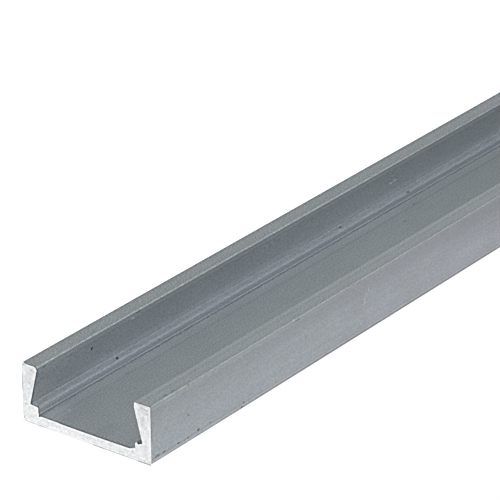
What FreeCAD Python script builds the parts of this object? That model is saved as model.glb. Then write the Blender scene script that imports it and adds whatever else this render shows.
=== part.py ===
import FreeCAD, Part
import math
import os

# A flat channel for an LED strip: one aluminium extrusion with both ends sawn square.
# It lies on its base, with its length along Y and its open side up. All sizes are in millimetres.

length = 1000.0            # one bar of stock
width = 15.5               # across the outer faces
height = 6.0               # from the base to the tops of the walls
base_thickness = 0.9       # the web under the strip

wall_foot = 1.0            # wall thickness where it meets the ledge
undercut = 0.9             # how much thicker the wall gets towards its top
land_height = 0.6          # upright band on the inside, under the wall's top edge

ledge_depth = 0.9          # from the wall's foot to the side above the strip bed
ledge_rise = 0.9           # from the strip bed to the lip, the ledge's inner edge
foot_rise = 0.1            # the ledge's climb from the lip to the wall's foot

relief_width = 0.18        # fine groove in the strip bed along each ledge
relief_depth = 0.09        # its depth

base_radius = 0.05         # outer edges under the profile
outer_top_radius = 0.1     # outer edges of the wall tops
inner_top_radius = 0.13    # inner edges of the wall tops, where the cover snaps past
land_radius = 0.1          # turn from the land into the sloping wall
foot_radius = 0.05         # hollow corner between wall and ledge
lip_radius = 0.25          # the lip's rounded edge
relief_radius = 0.03       # corners of the groove

# Heights and distances that follow from the sizes above.
outer_face = width / 2
wall_top = wall_foot + undercut
ledge_reach = wall_foot + ledge_depth
relief_reach = ledge_reach + relief_width
lip_height = base_thickness + ledge_rise
foot_height = lip_height + foot_rise
relief_bottom = base_thickness - relief_depth
land_bottom = height - land_height

# Corners of the right half of the section, from the base upwards and in: distance inwards
# from the outer face, height, and the radius of the corner.
half_section = [
    (0.0, 0.0, base_radius),
    (0.0, height, outer_top_radius),
    (wall_top, height, inner_top_radius),
    (wall_top, land_bottom, land_radius),
    (wall_foot, foot_height, foot_radius),
    (ledge_reach, lip_height, lip_radius),
    (ledge_reach, relief_bottom, relief_radius),
    (relief_reach, relief_bottom, relief_radius),
    (relief_reach, base_thickness, relief_radius),
]


# The point where a rounded corner begins, its middle and its end. A radius that is too large
# for the sides next to it shrinks until it fits them.
def corner_points(before, corner, after, radius):
    to_before = before - corner
    to_after = after - corner
    shorter_side = min(to_before.Length, to_after.Length)
    half_angle = to_before.getAngle(to_after) / 2
    setback = min(radius / math.tan(half_angle), 0.45 * shorter_side)
    fitted_radius = setback * math.tan(half_angle)
    to_before.normalize()
    to_after.normalize()
    inwards = to_before + to_after
    inwards.normalize()
    start = corner + to_before * setback
    middle = corner + inwards * (fitted_radius / math.sin(half_angle) - fitted_radius)
    end = corner + to_after * setback
    return start, middle, end


# A closed wire through the corners, made of straight sides and of arcs at the corners.
def rounded_wire(corners, radii):
    count = len(corners)
    rounded = []
    for i in range(count):
        after = corners[(i + 1) % count]
        rounded.append(corner_points(corners[i - 1], corners[i], after, radii[i]))
    edges = []
    for i in range(count):
        start, middle, end = rounded[i]
        next_start = rounded[(i + 1) % count][0]
        edges.append(Part.Arc(start, middle, end).toShape())
        edges.append(Part.makeLine(end, next_start))
    return Part.Wire(edges)


# The right half as listed, then the left half as its mirror image, back down to the base.
near_end = -length / 2
corners = []
radii = []
for inwards, level, radius in half_section:
    corners.append(FreeCAD.Vector(outer_face - inwards, near_end, level))
    radii.append(radius)
for inwards, level, radius in reversed(half_section):
    corners.append(FreeCAD.Vector(inwards - outer_face, near_end, level))
    radii.append(radius)

section = Part.Face(rounded_wire(corners, radii))
profile = section.extrude(FreeCAD.Vector(0, length, 0))

os.makedirs("parts", exist_ok=True)
profile.exportStep("parts/led_profile.step")
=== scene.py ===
import math

import bmesh
import bpy
from mathutils import Matrix, Vector


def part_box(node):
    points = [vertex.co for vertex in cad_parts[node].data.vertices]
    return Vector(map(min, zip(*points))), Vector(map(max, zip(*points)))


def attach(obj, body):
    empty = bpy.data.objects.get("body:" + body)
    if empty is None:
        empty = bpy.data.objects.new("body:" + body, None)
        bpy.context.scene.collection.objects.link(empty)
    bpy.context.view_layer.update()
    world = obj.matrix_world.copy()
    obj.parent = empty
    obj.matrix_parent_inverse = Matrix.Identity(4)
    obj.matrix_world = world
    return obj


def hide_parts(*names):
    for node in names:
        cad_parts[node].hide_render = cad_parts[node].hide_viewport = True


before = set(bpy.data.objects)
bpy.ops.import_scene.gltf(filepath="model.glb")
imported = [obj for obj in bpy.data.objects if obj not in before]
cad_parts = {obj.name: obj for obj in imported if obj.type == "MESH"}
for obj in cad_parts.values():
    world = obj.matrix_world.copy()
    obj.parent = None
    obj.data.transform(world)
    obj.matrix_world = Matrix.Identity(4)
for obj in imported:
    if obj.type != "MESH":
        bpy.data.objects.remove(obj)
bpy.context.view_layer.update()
mm = 0.001
barLow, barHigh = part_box("led_profile")
halfWidth = barHigh.x / mm
halfLength = barHigh.y / mm
barHeight = (barHigh.z - barLow.z) / mm
nearEnd = barLow.y / mm  # the near end's place along the bar, in millimetres like the three above
print("frame loaded")


# Small helpers for node trees: a value is a plain number or the output of another node

def addNode(tree, kind, **values):  # a node with its sockets and settings given by name
    node = tree.nodes.new(kind)
    for key, value in values.items():
        socket = key.replace("_", " ")
        if socket not in node.inputs:
            setattr(node, key, value)
        elif isinstance(value, bpy.types.NodeSocket):
            tree.links.new(value, node.inputs[socket])
        else:
            node.inputs[socket].default_value = value
    return node


def addMath(tree, operation, first, second=None):
    node = addNode(tree, "ShaderNodeMath", operation=operation)
    for socket, value in zip(node.inputs, (first, second)):
        if isinstance(value, bpy.types.NodeSocket):
            tree.links.new(value, socket)
        elif value is not None:
            socket.default_value = value
    return node.outputs[0]


def addProduct(tree, product, *factors):
    for factor in factors:
        product = addMath(tree, "MULTIPLY", product, factor)
    return product


def addVector(tree, operation, first, second):
    node = addNode(tree, "ShaderNodeVectorMath", operation=operation, Vector=first)
    tree.links.new(second, node.inputs[1])
    return node.outputs[0]


def addScaled(tree, vector, factor):
    return addNode(tree, "ShaderNodeVectorMath", operation="SCALE", Vector=vector, Scale=factor).outputs[0]


def addRange(tree, value, fromMin, fromMax, toMin, toMax, kind="LINEAR"):
    node = addNode(
        tree, "ShaderNodeMapRange", interpolation_type=kind, Value=value,
        From_Min=fromMin, From_Max=fromMax, To_Min=toMin, To_Max=toMax,
    )
    return node.outputs[0]


def addRise(tree, value, low, high):  # 0 up to the low value and 1 from the high one on
    return addRange(tree, value, low, high, 0.0, 1.0)


def addFall(tree, value, low, high):  # 1 up to the low value and 0 from the high one on
    return addRange(tree, value, low, high, 1.0, 0.0)


def addSteps(tree, value, points):  # a broken line through (value, result) points
    first, last = points[0][0], points[-1][0]
    low, high = min(result for _, result in points), max(result for _, result in points)
    ramp = tree.nodes.new("ShaderNodeValToRGB")
    stops = ramp.color_ramp.elements
    while len(stops) < len(points):
        stops.new(0.5)  # it gets its place below
    for stop, (place, result) in zip(stops, points):
        share = (result - low) / (high - low)
        stop.position = (place - first) / (last - first)
        stop.color = (share, share, share, 1)
    tree.links.new(addRise(tree, value, first, last), ramp.inputs[0])
    return addRange(tree, ramp.outputs[0], 0.0, 1.0, low, high)


def addTone(tree, tone, mask):  # the tone where the mask is 1, and 1 where it is 0
    change = addProduct(tree, addMath(tree, "SUBTRACT", tone, 1.0), mask)
    return addMath(tree, "ADD", change, 1.0)


wideSpan = (0.25, 0.75)  # a noise hardly ever leaves this span
narrowSpan = (0.3, 0.7)  # and is mostly within this one


def addSwing(tree, noise, span, share):  # a tone that swings round 1 with the noise
    return addRange(tree, noise, *span, 1 - share, 1 + share)


def addBump(tree, height, depth, **more):
    bump = addNode(tree, "ShaderNodeBump", Strength=1.0, Distance=depth * mm, Height=height, **more)
    return bump.outputs[0]


def takeApart(tree, vector):
    return addNode(tree, "ShaderNodeSeparateXYZ", Vector=vector).outputs


def inMillimetres(tree, value):
    return addMath(tree, "DIVIDE", value, mm)


def fromNearestEnd(tree, y):  # in millimetres
    return addMath(tree, "SUBTRACT", halfLength, inMillimetres(tree, addMath(tree, "ABSOLUTE", y)))


def newGroup(name, inputs, output):  # inputs beside the place: name -> default; the output is a number
    tree = bpy.data.node_groups.new(name, "ShaderNodeTree")
    tree.interface.new_socket("Vector", in_out="INPUT", socket_type="NodeSocketVector")
    for label, default in inputs.items():
        kind = "NodeSocketVector" if isinstance(default, tuple) else "NodeSocketFloat"
        tree.interface.new_socket(label, in_out="INPUT", socket_type=kind).default_value = default
    tree.interface.new_socket(output, in_out="OUTPUT", socket_type="NodeSocketFloat")
    return tree, tree.nodes.new("NodeGroupInput").outputs, tree.nodes.new("NodeGroupOutput").inputs[0]


def placeGroup(tree, group, where, **values):
    return addNode(tree, "ShaderNodeGroup", node_tree=group, Vector=where, **values).outputs[0]


def newMaterial(name):  # the material, its tree, its shader and the place on the piece
    material = bpy.data.materials.new(name)
    material.use_nodes = True
    tree = material.node_tree
    where = addNode(tree, "ShaderNodeTexCoord").outputs["Object"]
    return material, tree, tree.nodes["Principled BSDF"], where


# Shader groups shared by the finishes, with sizes in millimetres

spotCore = 0.4  # a spot is whole up to this share of its reach
noiseRoughness = 0.6  # weight of each finer layer of the noise


def makeStretchedNoise():  # noise with its own grain size along each axis
    tree, given, height = newGroup(
        "stretchedNoise", {"Size mm": (0.3, 0.3, 0.3), "Detail": 3.0}, "Height",
    )
    steps = addVector(tree, "DIVIDE", addScaled(tree, given["Vector"], 1 / mm), given["Size mm"])
    noise = addNode(
        tree, "ShaderNodeTexNoise", Vector=steps, Scale=1.0, Detail=given["Detail"],
        Roughness=noiseRoughness,
    )
    tree.links.new(noise.outputs[0], height)
    return tree


def makeMarkSpot():  # one soft-edged spot round a point of the piece
    tree, given, mask = newGroup(
        "markSpot", {"Centre mm": (0.0, 0.0, 0.0), "Reach mm": (0.2, 0.2, 0.2), "Strength": 1.0}, "Mask",
    )
    away = addVector(tree, "SUBTRACT", addScaled(tree, given["Vector"], 1 / mm), given["Centre mm"])
    share = addVector(tree, "DIVIDE", away, given["Reach mm"])
    length = addNode(tree, "ShaderNodeVectorMath", operation="LENGTH", Vector=share).outputs["Value"]
    inside = addRange(tree, length, 1.0, spotCore, 0.0, 1.0, "SMOOTHSTEP")
    tree.links.new(addProduct(tree, inside, given["Strength"]), mask)
    return tree


def makeNearEnds():  # 1 at the two sawn ends, gone at the given distance from them
    tree, given, mask = newGroup("nearEnds", {"Width mm": 0.15}, "Mask")
    fromEnd = fromNearestEnd(tree, takeApart(tree, given["Vector"])["Y"])
    share = addMath(tree, "DIVIDE", fromEnd, given["Width mm"])
    tree.links.new(addRange(tree, share, 0.0, 1.0, 1.0, 0.0, "SMOOTHSTEP"), mask)
    return tree


stretchedNoise = makeStretchedNoise()
markSpot = makeMarkSpot()
nearEnds = makeNearEnds()
print("shader groups made")


def placeNoise(tree, where, look, name):  # with the size and detail that the look gives under the name
    return placeGroup(
        tree, stretchedNoise, where, Size_mm=look[name + "Size"], Detail=look[name + "Detail"],
    )


# The anodised finish

anodisedLook = {  # sizes and distances in millimetres; a tone multiplies the colour
    "colour": (0.300, 0.329, 0.355),
    "metallic": 0.4,
    "roughness": (0.46, 0.54),
    "lineSize": (0.22, 70.0, 0.22),  # streaks that the die leaves along the bar
    "lineDetail": 3.0,
    "lineTone": 0.04,
    "lineDepth": 0.0015,
    "grainSize": (0.15, 0.15, 0.15),
    "grainDetail": 2.0,
    "grainTone": 0.36,
    "outerGrain": 0.52,  # the grain shows less on the outer faces
    "topGrain": (1.54, 1.10),  # and more on the tops, on the left one most of all
    "grainDepth": 0.002,
    "cloudSize": (2.2, 4.0, 2.2),
    "cloudDetail": 2.0,
    "cloudTone": 0.04,
    "tintSize": (0.8, 1.8, 0.8),
    "tintDetail": 1.0,
    "tintShift": 0.013,  # how far the tint wanders between warm and cold
    "outerShadedColour": (0.285, 0.301, 0.334),  # painted shade: the outer faces turn to this darker colour away from the ends
    "outerFade": 60.0,
    "outerSkin": (0.08, 0.02),  # depths under an outer face where its tones begin and where they are whole
    "innerSkin": (0.95, 0.85),  # depths under it where the inside's tones are whole and where they are gone
    "troughGap": (0.2, 0.1),  # the same for the distance under the tops
    "topSkin": (0.05, 0.01),  # depths under the tops where their grain begins and where it is whole
    "outerReflectionTones": [  # painted reflection of the floor, lighter low down and darker near the top: height over the underside, then tone
        (0.6, 1.0), (1.8, 1.03), (3.0, 0.98), (4.0, 0.94), (5.4, 0.86), (5.85, 0.89),
    ],
    "footNear": [  # painted shade where the bottom edge meets the floor and painted reflection of the floor just above it: fine lines along the foot of the outer faces, at the ends
        (0.0, 0.72), (0.04, 0.74), (0.12, 1.32), (0.18, 1.38), (0.26, 1.22), (0.36, 0.97),
        (0.47, 0.95), (0.7, 1.11), (0.95, 1.0),
    ],
    "footFar": [  # and footFade away from them
        (0.0, 1.0), (0.02, 0.66), (0.12, 0.84), (0.20, 1.22), (0.30, 1.12), (0.40, 1.0),
        (0.48, 0.98), (0.6, 1.03), (0.95, 1.0),
    ],
    "footFade": 22.0,
    "footRise": (0.11, 0.14),  # below these heights the foot's tones go on round the bottom edge
    "footTint": (1.06, 1.0, 0.97),  # the foot is a little warmer than the face above it
    "footWarm": (0.30, 0.55),  # heights up to which the tint is whole, and where it is gone
    # painted light: the inner walls lighter towards their foot, for the light that the ledge throws back
    # onto them; height, then tone
    "wallBounceLight": [(1.93, 1.0), (2.0, 1.27), (2.3, 1.30), (2.7, 1.15), (3.4, 1.09), (4.2, 1.04), (5.2, 1.0)],
    "wallFrom": (0.2, 12.0),  # share of the walls' painted light that the ends have, and where it is whole
    "awayShade": 0.91,  # painted shade: the inside is darker further on
    "awayFrom": (54.0, 76.0),
    "lipLightTint": (0.99, 1.0, 1.07),  # painted light colour: the lips and the sides below them are a little colder, for the colder light on the lip's highlight
    "lipAcross": [(5.70, 0.0), (5.80, 1.0), (6.10, 1.0), (6.35, 0.0)],  # distance from the middle, share
    "lipUp": [(0.95, 0.0), (1.05, 0.5), (1.50, 0.4), (1.70, 1.0), (1.95, 1.0), (2.00, 0.0)],  # height, share
    "lipFrom": (0.5, 4.0),  # distances from the end where the tint begins and where it is whole
    "endShade": (0.47, 0.56),  # painted shade along the edges of the sawn ends, first on the inside and then on the outer faces
    "endShadeWidth": 0.14,
    "rimShade": 0.68,  # painted shade, darker still round the inside of the sawn ends
    "rimShadeWidth": 0.30,
    "bandFade": 50.0,  # the bands below go from their near to their far tone over this length
    "darkTone": 0.12,  # tone in the middle of a dark mark of full strength
    "lightTone": 1.7,
}
# Bands all along the bar: a few streaks in the bed, the others painted highlights and painted shade along
# the edges, lips, beads and creases, often fading further on; x, z, reach along x and z, then tone at the
# near end and bandFade away
streaksAndPaintedLight = [
    (-4.45, 0.90, 0.24, 0.20, 0.96, 0.90),
    (4.45, 0.90, 0.24, 0.20, 0.96, 0.90),
    (-5.71, 0.85, 0.16, 0.14, 0.87, 0.84),
    (5.71, 0.85, 0.16, 0.14, 0.87, 0.84),
    (-5.56, 0.90, 0.13, 0.20, 0.95, 0.96),
    (-5.93, 1.77, 0.15, 0.14, 0.56, 0.47),
    (5.93, 1.77, 0.15, 0.14, 0.56, 0.47),
    (-5.85, 1.49, 0.10, 0.20, 1.12, 1.0),
    (5.85, 1.49, 0.10, 0.20, 1.12, 1.0),
    (-5.87, 1.09, 0.12, 0.13, 1.09, 1.045),
    (5.87, 1.09, 0.12, 0.13, 1.09, 1.045),
    (-6.70, 1.90, 0.14, 0.12, 1.0, 0.87),
    (-5.97, 5.98, 0.14, 0.16, 0.98, 0.92),
    (-6.25, 6.00, 0.16, 0.20, 0.96, 0.96),
    (-7.64, 5.98, 0.13, 0.14, 1.06, 1.06),
    (7.69, 6.00, 0.10, 0.10, 0.96, 0.95),
    (7.75, 5.86, 0.12, 0.10, 1.05, 0.93),
    (7.75, 5.58, 0.12, 0.17, 1.10, 0.97),
    (7.75, 4.85, 0.12, 1.00, 1.0, 0.96),
    (6.05, 6.00, 0.40, 0.20, 1.12, 1.12),
    (7.05, 6.00, 0.50, 0.20, 1.06, 1.06),
]
# Marks, mostly specks, nicks and scratches, some painted shade or painted light as noted at each: x,
# distance from the near end and z, then the reach along x, y and z, then strength
darkMarks = [
    (-6.08, 8.40, 4.54, 0.25, 0.18, 0.28, 1.0),
    (-6.33, 12.51, 1.85, 0.17, 0.17, 0.30, 0.8),
    (-6.22, 12.36, 1.85, 0.19, 0.19, 0.30, 0.95),
    (-6.12, 12.22, 1.85, 0.15, 0.15, 0.30, 0.8),
    (-6.65, 24.50, 2.29, 0.15, 0.14, 0.12, 0.5),
    (-6.11, 1.14, 4.40, 0.15, 0.45, 0.07, 0.45),
    (-6.40, 49.93, 1.84, 0.16, 0.32, 0.20, 0.8),
    (-6.45, 49.24, 1.85, 0.12, 0.20, 0.20, 0.4),
    (-5.88, 61.85, 1.80, 0.22, 0.40, 0.25, 0.7),
    (-6.23, 60.05, 3.96, 0.16, 0.30, 0.10, 0.3),
    (-5.85, 15.30, 5.80, 0.12, 0.60, 0.08, 0.4),
    # painted shade: dims the highlight of the left wall's inner top edge further along the bar
    (-5.92, 80.00, 5.95, 0.15, 38.0, 0.16, 0.22),
    (-5.85, 1.50, 5.62, 0.14, 3.00, 0.22, 0.1),
    (-5.47, 2.20, 0.95, 0.32, 4.50, 0.20, 0.1),
    (-2.92, 56.94, 0.95, 0.16, 0.22, 0.20, 0.5),
    (-4.63, 61.13, 0.95, 0.16, 0.22, 0.20, 0.5),
    (-4.68, 12.09, 0.95, 0.10, 0.70, 0.20, 0.25),
    (-6.40, 9.05, 6.00, 0.18, 0.25, 0.20, 0.3),
    (7.75, 5.61, 2.79, 0.20, 0.17, 0.12, 0.6),
    (7.75, 7.12, 0.59, 0.20, 0.26, 0.16, 0.8),
    (7.72, 5.53, 0.44, 0.20, 0.24, 0.12, 0.5),
    (7.72, 5.05, 0.40, 0.20, 0.20, 0.10, 0.4),
    (7.73, 4.06, 0.50, 0.20, 0.26, 0.12, 0.6),
    (7.75, 1.89, 0.53, 0.20, 0.30, 0.13, 0.5),
    (7.75, 0.92, 0.53, 0.20, 0.60, 0.20, 0.4),
    (7.75, 8.93, 0.56, 0.20, 0.18, 0.10, 0.6),
    (7.75, 14.24, 0.50, 0.20, 0.15, 0.19, 0.5),
    (7.68, 13.93, 0.16, 0.20, 0.16, 0.12, 0.7),
    (7.75, 24.37, 3.42, 0.20, 0.07, 0.32, 0.55),
    (7.73, 5.70, 5.93, 0.12, 0.14, 0.12, 0.5),
    (7.75, 22.96, 5.76, 0.12, 0.60, 0.08, 0.5),
    (7.42, 2.65, 6.00, 0.14, 0.38, 0.20, 0.38),
    (7.46, 3.78, 6.00, 0.14, 0.38, 0.20, 0.35),
    # painted shade on the torn side of the right ledge at the near end
    (6.35, 0.35, 1.85, 0.45, 0.55, 0.30, 0.55),
    # painted shade in the left crease near the end
    (-5.71, 0.80, 0.85, 0.16, 4.00, 0.14, 0.25),
    (-6.10, 0.80, 4.60, 0.50, 3.20, 1.30, 0.11),
    (-5.85, 1.05, 5.66, 0.14, 0.40, 0.17, 0.35),
    (1.25, 1.40, 0.95, 1.20, 2.60, 0.20, 0.10),
    # painted shade: the right outer face a little darker further along the bar
    (7.75, 62.0, 4.20, 0.30, 14.0, 3.20, 0.10),
]
lightMarks = [
    (-6.35, 0.08, 1.85, 0.50, 0.30, 0.14, 0.6),
    # painted light: the bed lighter near the end
    (-4.95, 0.30, 0.95, 1.70, 3.80, 0.30, 0.22),
    (-4.85, 13.0, 0.95, 0.65, 11.0, 0.20, 0.08),
    (-5.85, 14.50, 5.42, 0.20, 0.28, 0.15, 1.0),
    (-5.85, 14.25, 5.60, 0.20, 0.20, 0.12, 0.7),
    (-6.03, 36.67, 4.70, 0.20, 0.10, 0.30, 0.5),
    (-6.31, 59.16, 3.66, 0.20, 0.48, 0.18, 0.9),
    (-6.29, 59.90, 3.77, 0.20, 0.48, 0.20, 0.9),
    (-4.27, 2.66, 0.95, 0.27, 0.20, 0.20, 0.65),
    (-4.02, 2.30, 0.95, 0.08, 0.12, 0.20, 0.5),
    (-1.78, 9.23, 0.95, 0.10, 0.30, 0.20, 0.35),
    (7.75, 34.31, 3.38, 0.20, 0.13, 0.45, 0.4),
    (7.75, 34.60, 3.91, 0.20, 0.11, 0.28, 0.3),
    (7.75, 34.96, 4.40, 0.20, 0.14, 0.30, 0.4),
    (7.70, 22.45, 5.96, 0.14, 0.26, 0.14, 0.35),
    (7.72, 4.75, 5.96, 0.12, 0.90, 0.12, 0.25),
    (7.73, 2.50, 5.93, 0.12, 1.30, 0.12, 0.2),
    (7.75, 0.05, 1.40, 0.30, 0.22, 1.60, 0.35),
    (-6.75, 82.0, 2.10, 0.25, 10.0, 0.35, 0.1),
]
endless = 1e7  # reach of the bands along the bar


def below(level, depths):
    return [level - depth for depth in depths]


def measurePlace(tree, where):  # distances in millimetres, and masks for the outer faces and the inside
    look = anodisedLook
    apart = takeApart(tree, where)
    sideways = inMillimetres(tree, addMath(tree, "ABSOLUTE", apart["X"]))
    upwards = inMillimetres(tree, addMath(tree, "SUBTRACT", apart["Z"], barLow.z))
    inner = addFall(tree, sideways, *below(halfWidth, look["innerSkin"]))
    underTops = addFall(tree, upwards, *below(barHeight, look["troughGap"]))
    return {
        "right": apart["X"],  # in metres
        "sideways": sideways,
        "upwards": upwards,
        "fromEnd": fromNearestEnd(tree, apart["Y"]),
        "outer": addRise(tree, sideways, *below(halfWidth, look["outerSkin"])),
        "inner": inner,
        "trough": addProduct(tree, inner, underTops),
    }


# Painted light on the outer faces: the floor's painted reflection, and painted shade and reflection along
# their foot
def outerFaceLightAndShade(tree, at):
    look = anodisedLook
    far = addRise(tree, at["fromEnd"], 0.0, look["footFade"])
    near = addMath(tree, "SUBTRACT", 1.0, far)
    tone = addProduct(
        tree, addSteps(tree, at["upwards"], look["outerReflectionTones"]),
        addTone(tree, addSteps(tree, at["upwards"], look["footNear"]), near),
        addTone(tree, addSteps(tree, at["upwards"], look["footFar"]), far),
    )
    foot = addFall(tree, at["upwards"], *look["footRise"])
    return addTone(tree, tone, addMath(tree, "MAXIMUM", at["outer"], foot))


# Painted light on the inner walls' foot, and painted shade deeper in the trough further on
def insideLightAndShade(tree, at):
    look = anodisedLook
    least, whole = look["wallFrom"]
    walls = addProduct(tree, at["inner"], addRange(tree, at["fromEnd"], 0.0, whole, least, 1.0))
    wallTone = addTone(tree, addSteps(tree, at["upwards"], look["wallBounceLight"]), walls)
    away = addProduct(tree, at["trough"], addRise(tree, at["fromEnd"], *look["awayFrom"]))
    return addProduct(tree, wallTone, addTone(tree, look["awayShade"], away))


# Painted shade along the sawn ends on the anodised faces
def sawnEdgeShade(tree, where, at):
    look = anodisedLook
    edges = placeGroup(tree, nearEnds, where, Width_mm=look["endShadeWidth"])
    edgeShade = addTone(tree, addRange(tree, at["outer"], 0.0, 1.0, *look["endShade"]), edges)
    rims = addProduct(tree, placeGroup(tree, nearEnds, where, Width_mm=look["rimShadeWidth"]), at["trough"])
    return addProduct(tree, edgeShade, addTone(tree, look["rimShade"], rims))


# Streaks, painted highlights and painted shade along the bar
def bandedStreaksAndLight(tree, where, at):
    tone = 1.0
    for x, z, reachX, reachZ, nearTone, farTone in streaksAndPaintedLight:
        band = placeGroup(
            tree, markSpot, where, Centre_mm=(x, 0.0, z), Reach_mm=(reachX, endless, reachZ),
        )
        bandTone = addRange(tree, at["fromEnd"], 0.0, anodisedLook["bandFade"], nearTone, farTone)
        tone = addProduct(tree, tone, addTone(tree, bandTone, band))
    return tone


def grainedTone(tree, grain, at):
    look = anodisedLook
    outerShare = addRange(tree, at["outer"], 0.0, 1.0, 1.0, look["outerGrain"])
    topShare = addRange(tree, at["right"], -mm, mm, *look["topGrain"])
    tops = addRise(tree, at["upwards"], *below(barHeight, look["topSkin"]))
    share = addProduct(tree, outerShare, addTone(tree, topShare, tops))
    return addTone(tree, addSwing(tree, grain, wideSpan, look["grainTone"]), share)


def gatherMarks(tree, where, marks):  # the strongest of the spots at each point
    mask = 0.0
    for x, fromEnd, z, *reach, strength in marks:
        spot = placeGroup(
            tree, markSpot, where, Centre_mm=(x, nearEnd + fromEnd, z), Reach_mm=reach, Strength=strength,
        )
        mask = addMath(tree, "MAXIMUM", mask, spot)
    return mask


def metalColour(tree, where, at):  # before the tones
    look = anodisedLook
    mixed = addNode(tree, "ShaderNodeMix", data_type="RGBA")
    # painted shade: the outer faces darker away from the ends
    outerShare = addProduct(tree, at["outer"], addRise(tree, at["fromEnd"], 0.0, look["outerFade"]))
    tree.links.new(outerShare, mixed.inputs[0])
    # the two colours to mix, which share their names with other inputs
    mixed.inputs[6].default_value = (*look["colour"], 1)
    mixed.inputs[7].default_value = (*look["outerShadedColour"], 1)
    tint = placeNoise(tree, where, look, "tint")
    warmer = addSwing(tree, tint, narrowSpan, -look["tintShift"])
    colder = addSwing(tree, tint, narrowSpan, look["tintShift"])
    wander = addNode(tree, "ShaderNodeCombineXYZ", X=warmer, Y=1.0, Z=colder)
    foot = addProduct(tree, at["outer"], addFall(tree, at["upwards"], *look["footWarm"]))
    # painted light colour on the lips and the sides below them
    lips = addProduct(
        tree, addSteps(tree, at["sideways"], look["lipAcross"]),
        addSteps(tree, at["upwards"], look["lipUp"]), addRise(tree, at["fromEnd"], *look["lipFrom"]),
    )
    partTint = tree.nodes.new("ShaderNodeCombineXYZ")
    for footShare, lipShare, socket in zip(look["footTint"], look["lipLightTint"], partTint.inputs):
        tinted = addProduct(tree, addTone(tree, footShare, foot), addTone(tree, lipShare, lips))
        tree.links.new(tinted, socket)
    colour = addVector(tree, "MULTIPLY", mixed.outputs[2], wander.outputs[0])
    return addVector(tree, "MULTIPLY", colour, partTint.outputs[0])


def makeAnodised():
    look = anodisedLook
    material, tree, shader, where = newMaterial("anodisedSilver")
    at = measurePlace(tree, where)
    lines, grain, cloud = (placeNoise(tree, where, look, name) for name in ("line", "grain", "cloud"))
    dark = gatherMarks(tree, where, darkMarks)
    light = gatherMarks(tree, where, lightMarks)
    tone = addProduct(
        tree, outerFaceLightAndShade(tree, at), insideLightAndShade(tree, at), sawnEdgeShade(tree, where, at),
        bandedStreaksAndLight(tree, where, at), grainedTone(tree, grain, at),
        addSwing(tree, lines, wideSpan, look["lineTone"]),
        addSwing(tree, cloud, wideSpan, look["cloudTone"]),
        addRange(tree, dark, 0.0, 1.0, 1.0, look["darkTone"]),
        addRange(tree, light, 0.0, 1.0, 1.0, look["lightTone"]),
    )
    colour = addScaled(tree, metalColour(tree, where, at), tone)
    tree.links.new(colour, shader.inputs["Base Color"])
    tree.links.new(addRange(tree, grain, *narrowSpan, *look["roughness"]), shader.inputs["Roughness"])
    shader.inputs["Metallic"].default_value = look["metallic"]
    streaks = addBump(tree, lines, look["lineDepth"])
    tree.links.new(addBump(tree, grain, look["grainDepth"], Normal=streaks), shader.inputs["Normal"])
    return material


# The bare metal of the sawn ends

sawnLook = {  # sizes in millimetres
    "colour": (0.82, 0.83, 0.845),
    "metallic": 0.2,
    "roughness": 0.6,
    "patchSize": (0.45, 0.45, 0.45),
    "patchDetail": 3.0,
    "patchTone": 0.08,
    "speckSize": (0.14, 0.14, 0.14),
    "speckDetail": 2.0,
    "speckTone": 0.10,
    "speckDepth": 0.003,
    "wallTone": 0.94,  # the end is a little greyer over the walls than over the base
    "wallRise": (1.0, 3.5),  # heights between which that sets in
    "lowTone": 1.16,  # and the base gets lighter towards its underside, over the lowest part of it
    "lowRise": 0.45,
    "markDepth": 0.4,  # reach of the marks along the bar
}
# Marks on the near end: x, z, reach along x and z, then tone
endMarks = [
    (5.50, 0.67, 0.16, 0.14, 0.86),
    (-7.50, 5.20, 0.34, 0.90, 1.08),
    (-6.85, 4.80, 0.50, 1.30, 0.94),
    (6.72, 3.95, 0.34, 0.55, 0.88),
    (-6.50, 5.50, 0.26, 0.20, 0.84),
    (-6.30, 5.40, 0.22, 0.16, 0.90),
    (-6.90, 4.14, 0.22, 0.18, 0.84),
    (-6.99, 3.76, 0.24, 0.22, 1.08),
    (-7.02, 3.46, 0.20, 0.15, 0.93),
    (-7.19, 2.90, 0.18, 0.18, 1.08),
    (-7.30, 1.77, 0.32, 0.14, 0.82),
    (-7.60, 0.25, 0.14, 0.16, 0.74),
    (-7.00, 0.35, 0.22, 0.14, 0.88),
    (-7.74, 4.00, 0.12, 1.30, 0.62),
    (-7.55, 5.84, 0.34, 0.09, 0.60),
    (7.05, 5.25, 0.36, 0.40, 0.90),
    (7.33, 5.08, 0.16, 0.16, 0.80),
    (6.72, 5.57, 0.36, 0.30, 0.86),
    (7.07, 5.52, 0.18, 0.18, 0.82),
    (7.30, 5.47, 0.18, 0.18, 0.84),
    (6.87, 4.47, 0.26, 0.34, 0.84),
    (7.55, 3.20, 0.12, 1.20, 1.05),
    (7.50, 5.00, 0.26, 1.00, 0.91),
    (6.80, 5.88, 1.10, 0.15, 0.84),
    (0.30, 0.45, 1.80, 0.50, 0.95),
    (7.20, 1.10, 0.60, 1.10, 0.95),
    (6.60, 5.30, 0.50, 0.45, 0.96),
]


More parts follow.
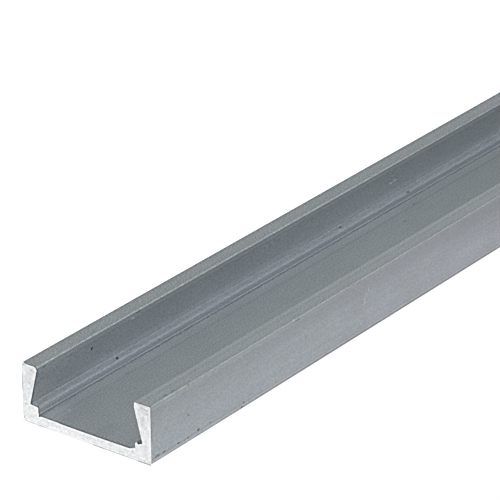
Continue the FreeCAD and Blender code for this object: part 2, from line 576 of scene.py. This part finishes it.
def makeSawnEnd():
    look = sawnLook
    material, tree, shader, where = newMaterial("sawnAluminium")
    patches, specks = (placeNoise(tree, where, look, name) for name in ("patch", "speck"))
    upwards = inMillimetres(tree, addMath(tree, "SUBTRACT", takeApart(tree, where)["Z"], barLow.z))
    tone = addProduct(
        tree, addRange(tree, upwards, *look["wallRise"], 1.0, look["wallTone"]),
        addRange(tree, upwards, 0.0, look["lowRise"], look["lowTone"], 1.0),
        addSwing(tree, patches, narrowSpan, look["patchTone"]),
        addSwing(tree, specks, narrowSpan, look["speckTone"]),
    )
    for x, z, reachX, reachZ, markTone in endMarks:
        mark = placeGroup(
            tree, markSpot, where, Centre_mm=(x, nearEnd, z), Reach_mm=(reachX, look["markDepth"], reachZ),
        )
        tone = addProduct(tree, tone, addRange(tree, mark, 0.0, 1.0, 1.0, markTone))
    tree.links.new(addScaled(tree, look["colour"], tone), shader.inputs["Base Color"])
    shader.inputs["Metallic"].default_value = look["metallic"]
    shader.inputs["Roughness"].default_value = look["roughness"]
    tree.links.new(addBump(tree, specks, look["speckDepth"]), shader.inputs["Normal"])
    return material


anodised = makeAnodised()
sawnEnd = makeSawnEnd()
print("finishes made")


# The extruded channel

channel = {  # millimetres
    "base": 0.9,
    "wallFoot": 1.0,
    "undercut": 0.9,
    "land": 0.6,
    "ledgeDepth": 0.9,
    "ledgeRise": 0.9,
    "footRise": 0.1,
    "baseRadius": 0.05,
    "outerTopRadius": 0.1,
    "leftTopRadius": 0.035,  # the left wall's outer edge is crisper
    "innerTopRadius": 0.13,
    "landRadius": 0.1,
    "footRadius": 0.05,
    "lipRadius": 0.25,
    "beadReach": 0.035,  # how far the bead at the ledge's foot stands out
    "beadRise": 0.20,  # its height over the bed
    "beadSlope": 0.06,
    "beadRadius": 0.025,
    "creaseWidth": 0.18,  # the crease in the bed beside it
    "creaseDepth": 0.09,
    "creaseRadius": 0.02,
    "cornerSteps": 8,  # segments of each rounded corner
}
sawBurr = {  # what the saw did to the near end, in millimetres
    "depth": 0.35,  # how far back from the end it reaches
    # corners of the section: x, z and reach, how much rounder they are, then their shift along x and z
    "corners": [
        (-5.85, 6.00, 0.14, 3.2, -0.04, 0.0),
        (-5.85, 5.40, 0.12, 1.0, -0.10, 0.0),
        (-6.75, 1.90, 0.08, 1.0, -0.08, -0.04),
        (-5.85, 1.80, 0.26, 0.4, -0.01, -0.03),
        (5.85, 5.40, 0.12, 1.0, -0.045, 0.0),
        (6.75, 1.90, 0.08, 1.0, -0.03, 0.0),
        (7.75, 6.00, 0.11, 1.0, 0.0, -0.05),
    ],
    # torn metal: x and height along its new edge, heights between which faces are cut for it, and
    # heights between which points move to it
    "torn": [
        (  # the ledge on the right
            [
                (5.98, 1.80), (6.04, 1.80), (6.14, 1.67), (6.26, 1.63), (6.44, 1.72), (6.62, 1.79),
                (6.71, 1.88),
            ],
            (1.70, 2.00), (1.60, 1.93),
        ),
        (  # the bed
            [
                (-3.60, 0.90), (-3.00, 0.85), (1.80, 0.85), (3.60, 0.87), (5.17, 0.89), (5.41, 0.99),
                (5.65, 1.06), (5.85, 1.20),
            ],
            (0.88, 0.92), (0.76, 0.95),
        ),
    ],
    "closedGap": 0.0008,  # points that the tear brings this near to each other become one
    "tip": (5.84, 5.90),  # the right wall's inner edge, pulled out to a point: x and z
    "tipTop": 5.95,  # height of the top beside it
    "tipDrop": 0.12,  # how far its face reaches down
    "tipFrom": (5.99, 5.86),  # x up to which and height over which points move to it
    "nick": (0.18, (-1.0, -1.3, 1.2)),  # small corner broken off at the left: depth and direction
}
closeBy = 0.01 * mm  # points within this count as being in one place
cutSlack = 1e-7  # metres, within which a cut runs through a point instead of beside it
sideFacing = 0.5  # a side face's normal leans less than this along the bar
endFacing = 0.95  # and a sawn end's more than this


def halfSection(outerTop):  # corners of the right half: x, z and radius, in metres
    size = {key: value * mm for key, value in channel.items()}
    top, bottom = barHigh.z, barLow.z
    bed = bottom + size["base"]
    lip = bed + size["ledgeRise"]
    foot = barHigh.x - size["wallFoot"]
    land = foot - size["undercut"]
    ledge = foot - size["ledgeDepth"]
    beadTop = bed + size["beadRise"]
    bead = ledge - size["beadReach"]
    creaseEnd = bead - size["creaseWidth"]
    creaseBottom = bed - size["creaseDepth"]
    return [
        (barHigh.x, bottom, size["baseRadius"]),
        (barHigh.x, top, size[outerTop]),
        (land, top, size["innerTopRadius"]),
        (land, top - size["land"], size["landRadius"]),
        (foot, lip + size["footRise"], size["footRadius"]),
        (ledge, lip, size["lipRadius"]),
        (ledge, beadTop, size["creaseRadius"]),
        (bead, beadTop - size["beadSlope"], size["beadRadius"]),
        (bead, creaseBottom, size["creaseRadius"]),
        (creaseEnd, creaseBottom, size["creaseRadius"]),
        (creaseEnd, bed, size["creaseRadius"]),
    ]


def everything(bm):
    return bm.verts[:] + bm.edges[:] + bm.faces[:]


def cutAcross(bm, geom, place, direction):
    bmesh.ops.bisect_plane(bm, geom=geom, dist=cutSlack, plane_co=place, plane_no=direction)


def isLongEdge(edge, spots):  # runs all along the bar at one of the spots
    start, end = (vert.co for vert in edge.verts)
    if abs(start.y - end.y) < 0.5 * (barHigh.y - barLow.y):
        return False
    return any(math.hypot(start.x - x, start.z - z) < closeBy for x, z in spots)


def drawSection(bm):  # the section, drawn out to the bar's length and rounded along its corners
    left = [(-x, z, radius) for x, z, radius in reversed(halfSection("leftTopRadius"))]
    corners = halfSection("outerTopRadius") + left
    section = bm.faces.new([bm.verts.new((x, barLow.y, z)) for x, z, _ in corners])
    drawn = bmesh.ops.extrude_face_region(bm, geom=[section])
    moved = [part for part in drawn["geom"] if isinstance(part, bmesh.types.BMVert)]
    bmesh.ops.translate(bm, verts=moved, vec=(0, barHigh.y - barLow.y, 0))
    bm.normal_update()
    for radius in sorted({corner[2] for corner in corners}):  # one bevel for each corner radius
        spots = [(x, z) for x, z, size in corners if size == radius]
        rounded = bmesh.ops.bevel(
            bm, geom=[edge for edge in bm.edges if isLongEdge(edge, spots)], offset=radius,
            offset_type="OFFSET", affect="EDGES", segments=channel["cornerSteps"], profile=0.5, material=-1,
            clamp_overlap=True,
        )
        for face in rounded["faces"]:
            face.smooth = True
    bmesh.ops.recalc_face_normals(bm, faces=bm.faces)


def cutForTear(bm, x, low, high):  # cuts the near end's side faces between two heights at x
    reach = barLow.y + sawBurr["depth"] * mm + closeBy
    parts = {}
    for face in bm.faces:
        nearby = all(vert.co.y < reach for vert in face.verts)
        if nearby and abs(face.normal.y) < sideFacing and low * mm < face.calc_center_median().z < high * mm:
            parts.update(dict.fromkeys([face, *face.edges, *face.verts]))
    cutAcross(bm, list(parts), (x * mm, 0, 0), (1, 0, 0))


def levelAt(points, x):  # height on a broken line
    for (x0, z0), (x1, z1) in zip(points, points[1:]):
        if x0 <= x <= x1:
            return z0 + (z1 - z0) * (x - x0) / (x1 - x0)
    return None


def tornPlace(x, z):  # where the saw leaves a point of the near end, in millimetres
    for cornerX, cornerZ, reach, growth, shiftX, shiftZ in sawBurr["corners"]:
        if max(abs(x - cornerX), abs(z - cornerZ)) < reach:
            x = cornerX + growth * (x - cornerX) + shiftX
            z = cornerZ + growth * (z - cornerZ) + shiftZ
            break
    for points, _, (low, high) in sawBurr["torn"]:
        if low < z < high and levelAt(points, x) is not None:
            return x, levelAt(points, x)
    tipX, tipZ = sawBurr["tip"]
    farthest, lowest = sawBurr["tipFrom"]
    if not 0 < x < farthest or z <= lowest:
        return x, z
    radius = channel["innerTopRadius"]
    turn = math.atan2(z - (barHigh.z / mm - radius), tipX + radius - x)
    share = 2 * min(1.0, max(0.0, turn / (math.pi / 2)))  # 0 at the foot of the rounding, 2 on the top
    if share < 1:
        return tipX, tipZ - sawBurr["tipDrop"] * (1 - share)
    return tipX + radius * (share - 1), tipZ + (sawBurr["tipTop"] - tipZ) * (share - 1)


def tearNearEnd(bm):  # broken edges round the near end, and the torn metal on its right
    depth = sawBurr["depth"] * mm
    cutAcross(bm, everything(bm), (0, barLow.y + depth, 0), (0, 1, 0))
    cutAcross(bm, everything(bm), (0, barHigh.y - depth, 0), (0, -1, 0))
    for points, (low, high), _ in sawBurr["torn"]:
        for x, _ in points:
            cutForTear(bm, x, low, high)
    sawn = [vert for vert in bm.verts if abs(vert.co.y - barLow.y) < closeBy]
    for vert in sawn:
        x, z = tornPlace(vert.co.x / mm, vert.co.z / mm)
        vert.co.x, vert.co.z = x * mm, z * mm
    bmesh.ops.remove_doubles(bm, verts=sawn, dist=sawBurr["closedGap"] * mm)


def nickCorner(bm):  # the left outer corner of the near end, broken off to bare metal
    depth, direction = sawBurr["nick"]
    away = Vector(direction).normalized()
    corner = max((vert.co for vert in bm.verts), key=away.dot)
    cut = bmesh.ops.bisect_plane(
        bm, geom=everything(bm), dist=cutSlack, plane_co=corner - away * depth * mm, plane_no=away,
        clear_outer=True,
    )
    edges = [part for part in cut["geom_cut"] if isinstance(part, bmesh.types.BMEdge)]
    for face in bmesh.ops.holes_fill(bm, edges=edges, sides=0)["faces"]:
        face.material_index = 1
        face.smooth = False


def makeChannel():
    bm = bmesh.new()
    drawSection(bm)
    tearNearEnd(bm)
    bm.normal_update()
    for face in bm.faces:
        if abs(face.normal.y) > endFacing:
            face.material_index = 1
            for edge in face.edges:
                edge.smooth = False
    nickCorner(bm)
    mesh = bpy.data.meshes.new("channelProfile")
    bm.to_mesh(mesh)
    bm.free()
    mesh.materials.append(anodised)
    mesh.materials.append(sawnEnd)
    piece = bpy.data.objects.new("channelProfile", mesh)
    bpy.context.scene.collection.objects.link(piece)
    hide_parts("led_profile")
    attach(piece, "root")
    return piece


profile = makeChannel()
print("channel made:", len(profile.data.polygons), "faces")


# Floor, light and camera

floorLook = {  # distances in millimetres, apart from the size
    "size": 80.0,  # metres
    "drop": 0.02,
    "colour": (0.25, 0.25, 0.25, 1),
    "roughness": 0.9,
    "glow": 0.85,  # lit from within, as a light table is, so that hardly a shadow falls
    # painted contact shadow where the sawn end meets the floor: share of it by the distance from the bar
    "endShadowLine": [(0.0, 0.0), (0.02, 0.1), (0.07, 1.0), (0.16, 1.0), (0.31, 0.0)],
    "endShadowTones": [  # and its tone by the distance from the middle to the right
        (-7.75, 0.70), (-6.95, 0.54), (-6.5, 0.48), (-5.95, 0.62), (-5.55, 0.28), (-4.95, 0.52),
        (-4.5, 0.64), (-3.5, 0.70), (0.4, 0.68), (0.8, 0.62), (1.05, 0.30), (1.4, 0.40), (2.05, 0.22),
        (2.45, 0.48), (3.5, 0.48), (4.1, 0.38), (4.5, 0.40), (5.05, 0.48), (5.5, 0.54), (6.1, 0.54),
        (6.4, 0.18), (7.75, 0.20),
    ],
    "sideShadowWidth": 0.12,  # painted contact shadow along the sides
    "sideShadowTones": [(0.0, 0.9), (5.0, 0.7), (14.0, 0.5), (40.0, 0.4)],  # distance from the near end, tone
    "sideStop": 0.1,  # it stops over this length at the ends
}
sky = {"colour": (1.0, 1.0, 1.0, 1), "strength": 0.2}
# Lamps: where the light comes from, spread in degrees, colour, strength, whether it throws shadows
lamps = {
    "overhead": ((0.0, 0.0, 1.0), 100, (0.94, 1.0, 0.90), 0.66, True),
    "highRight": ((0.7, 0.0, 1.0), 50, (0.97, 0.96, 1.0), 0.80, False),
    "backRight": ((0.42, 0.72, 0.55), 40, (1.0, 1.0, 0.96), 1.60, False),
    "left": ((-1.0, 0.0, 0.45), 50, (1.0, 0.96, 0.93), 1.0, True),
    "frontLow": ((0.0, -1.0, 0.05), 30, (1.0, 1.0, 1.0), 1.2, True),
    "leftLow": ((-1.0, 0.4, -0.2), 60, (1.0, 1.0, 1.0), 0.3, False),
}
lampDistance = 3  # metres; it only keeps the suns apart in the viewport


def makeFloor():
    look = floorLook
    bm = bmesh.new()
    bmesh.ops.create_grid(bm, x_segments=1, y_segments=1, size=look["size"] / 2)
    bmesh.ops.translate(bm, verts=bm.verts, vec=(0, 0, -look["drop"] * mm))
    mesh = bpy.data.meshes.new("paleFloor")
    bm.to_mesh(mesh)
    bm.free()
    material, tree, shader, where = newMaterial("paleFloor")
    shader.inputs["Base Color"].default_value = look["colour"]
    shader.inputs["Roughness"].default_value = look["roughness"]
    shader.inputs["Specular IOR Level"].default_value = 0.0
    shader.inputs["Emission Strength"].default_value = look["glow"]
    apart = takeApart(tree, where)
    across = inMillimetres(tree, apart["X"])
    along = inMillimetres(tree, apart["Y"])
    fromNearEnd = addMath(tree, "SUBTRACT", along, nearEnd)  # towards the far end
    pastEnd = addMath(tree, "SUBTRACT", nearEnd, along)
    pastSide = addMath(tree, "SUBTRACT", addMath(tree, "ABSOLUTE", across), halfWidth)
    # Painted contact shadow on the floor round the bar's foot
    byTheSides = addFall(tree, pastSide, 0.0, look["sideShadowWidth"])
    endShadowLine = addProduct(tree, addSteps(tree, pastEnd, look["endShadowLine"]), byTheSides)
    sideShadowLine = addProduct(
        tree, byTheSides, addFall(tree, pastEnd, 0.0, look["sideStop"]),
        addFall(tree, along, halfLength - look["sideStop"], halfLength),
    )
    endShade = addTone(tree, addSteps(tree, across, look["endShadowTones"]), endShadowLine)
    sideShade = addTone(tree, addSteps(tree, fromNearEnd, look["sideShadowTones"]), sideShadowLine)
    tone = addProduct(tree, endShade, sideShade)
    glow = addNode(tree, "ShaderNodeCombineXYZ", X=tone, Y=tone, Z=tone)
    tree.links.new(glow.outputs[0], shader.inputs["Emission Color"])
    mesh.materials.append(material)
    floor = bpy.data.objects.new("paleFloor", mesh)
    bpy.context.scene.collection.objects.link(floor)


def makeLights():
    world = bpy.data.worlds.new("studioWorld")
    world.use_nodes = True
    background = world.node_tree.nodes["Background"]
    background.inputs["Color"].default_value = sky["colour"]
    background.inputs["Strength"].default_value = sky["strength"]
    bpy.context.scene.world = world
    for name, (source, spread, colour, strength, shadows) in lamps.items():
        lamp = bpy.data.lights.new(name, "SUN")
        lamp.use_shadow = shadows
        lamp.angle = math.radians(spread)
        lamp.color = colour
        lamp.energy = strength
        holder = bpy.data.objects.new(name, lamp)
        holder.rotation_euler = Vector(source).to_track_quat("Z", "Y").to_euler()
        holder.location = Vector(source) * lampDistance
        bpy.context.scene.collection.objects.link(holder)


shot = {  # where the photo was taken from, worked out from its edges
    "aimPast": (-9.2, 37.9, 3.0),  # millimetres from the middle of the near end's bottom edge
    "azimuth": 37.04,
    "elevation": 24.96,
    "roll": -0.51,
    "distance": 356.1,  # millimetres
    "lens": 249.2,
    "sensorWidth": 36,
    "clipStart": 0.01,  # metres
}


def makeCamera():
    aim = Vector((0, barLow.y, barLow.z)) + Vector(shot["aimPast"]) * mm
    turn = Matrix.Rotation(math.radians(shot["azimuth"]), 3, "Z")
    tip = Matrix.Rotation(math.radians(90 - shot["elevation"]), 3, "X")
    roll = Matrix.Rotation(math.radians(shot["roll"]), 3, "Z")
    stance = turn @ tip @ roll
    lens = bpy.data.cameras.new("photoCamera")
    lens.sensor_width = shot["sensorWidth"]
    lens.lens = shot["lens"]
    lens.clip_start = shot["clipStart"]
    camera = bpy.data.objects.new("photoCamera", lens)
    camera.rotation_euler = stance.to_euler()
    camera.location = aim + stance @ Vector((0, 0, shot["distance"] * mm))
    bpy.context.scene.collection.objects.link(camera)
    bpy.context.scene.camera = camera


lensLook = {  # how the camera drew the picture
    "displayGamma": 2.2,
    "lensBlur": 0.5,  # share of one softening pass that the lens had
    "crispness": 1.6,  # how much of the finer detail the camera's own sharpening adds again
}


def finishPicture():  # the lens's softness, and the sharpening that leaves a fine rim along hard edges
    scene = bpy.context.scene
    scene.use_nodes = True
    tree = scene.node_tree
    tree.nodes.clear()

    def treat(kind, picture, **values):
        return addNode(tree, kind, Image=picture, **values).outputs["Image"]

    def soften(picture, share):
        return treat("CompositorNodeFilter", picture, filter_type="SOFTEN", Fac=share)

    def combine(blend, first, second, share):
        node = addNode(tree, "CompositorNodeMixRGB", blend_type=blend, Fac=share)
        tree.links.new(first, node.inputs[1])
        tree.links.new(second, node.inputs[2])
        return node.outputs["Image"]

    taken = tree.nodes.new("CompositorNodeRLayers").outputs["Image"]
    coded = treat("CompositorNodeGamma", taken, Gamma=1 / lensLook["displayGamma"])
    soft = soften(coded, lensLook["lensBlur"])
    softer = soften(soften(soft, 1.0), 1.0)
    detail = combine("SUBTRACT", soft, softer, 1.0)
    crisp = combine("ADD", soft, detail, lensLook["crispness"])
    shown = treat("CompositorNodeGamma", crisp, Gamma=lensLook["displayGamma"])
    addNode(tree, "CompositorNodeComposite", Image=shown)


makeFloor()
makeLights()
makeCamera()
finishPicture()
bpy.context.scene.view_settings.view_transform = "Standard"
print("studio made")
